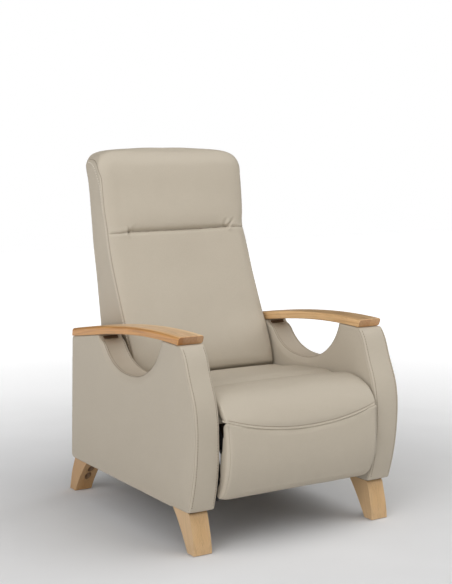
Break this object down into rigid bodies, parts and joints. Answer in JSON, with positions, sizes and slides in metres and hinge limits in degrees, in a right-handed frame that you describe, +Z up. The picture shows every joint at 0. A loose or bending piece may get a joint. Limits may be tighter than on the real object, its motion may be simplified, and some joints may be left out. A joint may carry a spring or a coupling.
{
  "type": "mission reclining armchair",
  "caption": "Reclining armchair in taupe leather with arched wooden arm caps over hand cut-outs, curved wooden legs, a tilting back and a scissor-link footrest.",
  "frame": {"origin": "on the floor, in the middle of the chair's box in X and Y, with the back upright and the footrest closed", "axes": "+Z up, -Y the way the sitter looks, +X the sitter's left; the chair is a mirror image of itself across X = 0"},
  "size_m": [0.74, 0.9082, 1.166],
  "materials": {
    "leather": "satin",
    "beech": "satin",
    "frame_timber": "matte",
    "black_steel": "satin",
    "zinc_steel": "satin",
    "nylon": "matte",
    "webbing": "matte"
  },
  "bodies": {
    "frame": {"arm_core_left": "frame_timber", "arm_core_right": "frame_timber", "arm_upholstery_left": "leather", "arm_upholstery_right": "leather", "arm_cap_left": "beech", "arm_cap_right": "beech", "cap_dowels": "frame_timber", "leg_front_left": "beech", "leg_front_right": "beech", "leg_rear_left": "beech", "leg_rear_right": "beech", "leg_bolts": "zinc_steel", "leg_glides": "nylon", "front_cross_rail": "frame_timber", "rear_cross_rail": "frame_timber", "rail_dowels": "frame_timber", "slide_channel_left": "black_steel", "slide_channel_right": "black_steel", "channel_screws": "zinc_steel"},
    "seat": {"carriage_plate_left": "black_steel", "carriage_plate_right": "black_steel", "slide_shoes": "nylon", "carriage_spacers": "zinc_steel", "carriage_bolts": "zinc_steel", "seat_rail_left": "frame_timber", "seat_rail_right": "frame_timber", "seat_rail_front": "frame_timber", "seat_rail_rear": "frame_timber", "seat_springs": "zinc_steel", "seat_cushion": "leather", "seat_bolster": "leather", "drive_pins": "zinc_steel", "back_hinge_pins": "zinc_steel"},
    "back": {"back_stile_left": "frame_timber", "back_stile_right": "frame_timber", "back_rail_top": "frame_timber", "back_rail_middle": "frame_timber", "back_rail_bottom": "frame_timber", "back_webbing": "webbing", "back_bracket_left": "black_steel", "back_bracket_right": "black_steel", "bracket_bolts": "zinc_steel", "back_outer_cover": "leather", "lumbar_cushion": "leather", "head_cushion": "leather"},
    "drive_links": {"drive_link_left": "black_steel", "drive_link_right": "black_steel", "torque_tube": "black_steel", "middle_pins": "zinc_steel"},
    "cross_links": {"cross_link_left": "black_steel", "cross_link_right": "black_steel", "cross_pins": "zinc_steel"},
    "follower_links": {"follower_link_left": "black_steel", "follower_link_right": "black_steel"},
    "footrest": {"footrest_bracket_left": "black_steel", "footrest_bracket_right": "black_steel", "bracket_pins": "zinc_steel", "bracket_screws": "zinc_steel", "footrest_board": "frame_timber", "footrest_pad": "leather"}
  },
  "joints": [
    {"name": "seat_slide", "type": "slide", "parent": "frame", "child": "seat", "axis": [0, -1, 0], "range_m": [0, 0.06]},
    {"name": "back_recline", "type": "hinge", "parent": "seat", "child": "back", "pos_m": [0, 0.145, 0.335], "axis": [-1, 0, 0], "range_deg": [0, 28]},
    {"name": "footrest_open", "type": "hinge", "parent": "seat", "child": "drive_links", "pos_m": [0, -0.338, 0.33], "axis": [-1, 0, 0], "range_deg": [0, 77.5]},
    {"name": "cross_link_turn", "type": "hinge", "parent": "drive_links", "child": "cross_links", "pos_m": [0, -0.36226, 0.24541], "axis": [1, 0, 0], "range_deg": [0, 155]},
    {"name": "follower_link_turn", "type": "hinge", "parent": "drive_links", "child": "follower_links", "pos_m": [0, -0.3799, 0.18389], "axis": [1, 0, 0], "range_deg": [0, 155]},
    {"name": "footrest_turn", "type": "hinge", "parent": "cross_links", "child": "footrest", "pos_m": [0, -0.36226, 0.35741], "axis": [-1, 0, 0], "range_deg": [0, 155]}
  ],
  "couplings": [
    {"joint": "seat_slide", "follows": "back_recline", "m_per_rad": 0.12277},
    {"joint": "cross_link_turn", "follows": "footrest_open", "ratio": 2},
    {"joint": "follower_link_turn", "follows": "footrest_open", "ratio": 2},
    {"joint": "footrest_turn", "follows": "footrest_open", "ratio": 2}
  ]
}
